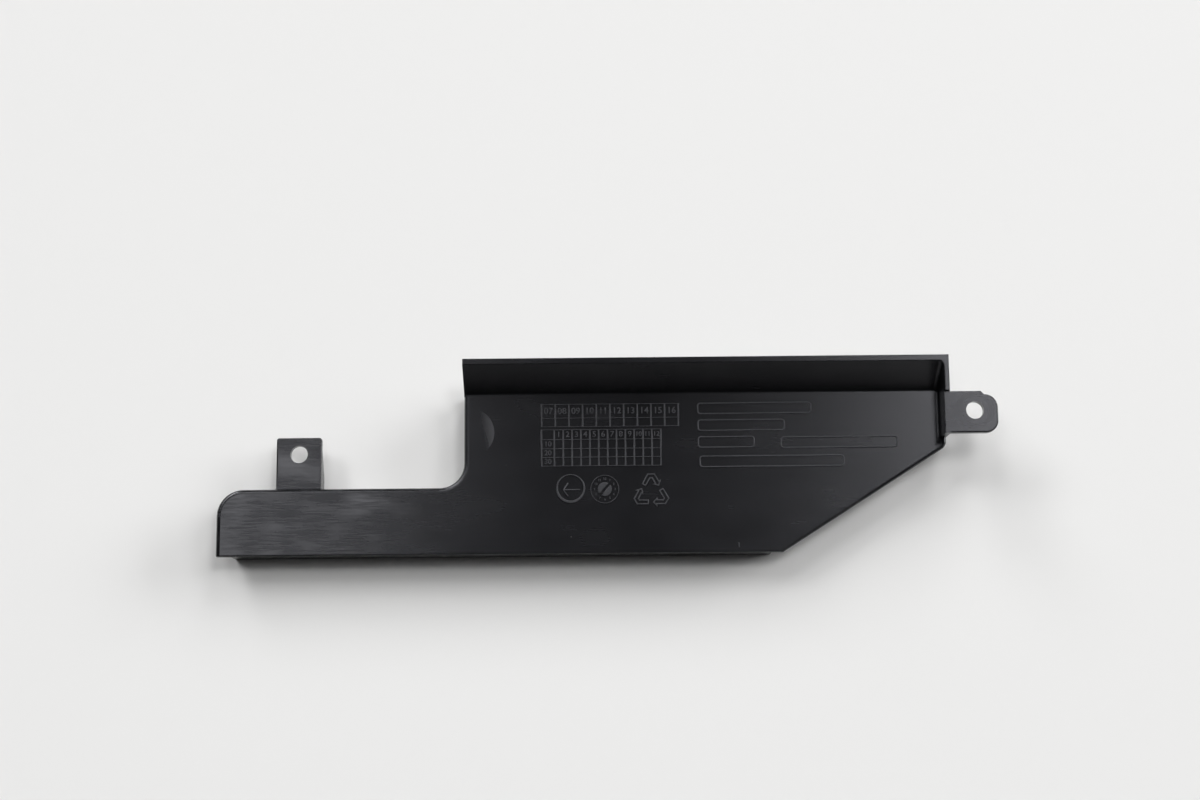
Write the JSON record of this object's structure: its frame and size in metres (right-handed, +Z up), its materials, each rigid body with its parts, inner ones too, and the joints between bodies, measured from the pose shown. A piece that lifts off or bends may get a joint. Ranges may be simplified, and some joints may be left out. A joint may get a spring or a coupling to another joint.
{
  "type": "fan duct",
  "caption": "Flat moulded air duct cover with a narrow arm, shallow skirts that form a channel, a leaning rear wall and screw tabs at different levels, to guide fan air.",
  "frame": {"origin": "centre of the part's box in plan, at the level of the skirts' feet", "axes": "+X along the length towards the higher tab, +Y from the front edge towards the leaning rear wall, +Z up from the feet to the rim"},
  "size_m": [0.1546, 0.0382, 0.0124],
  "materials": {
    "black_plastic": "satin black moulded plastic"
  },
  "bodies": {
    "root": {"fan_duct": "black_plastic"}
  },
  "joints": []
}
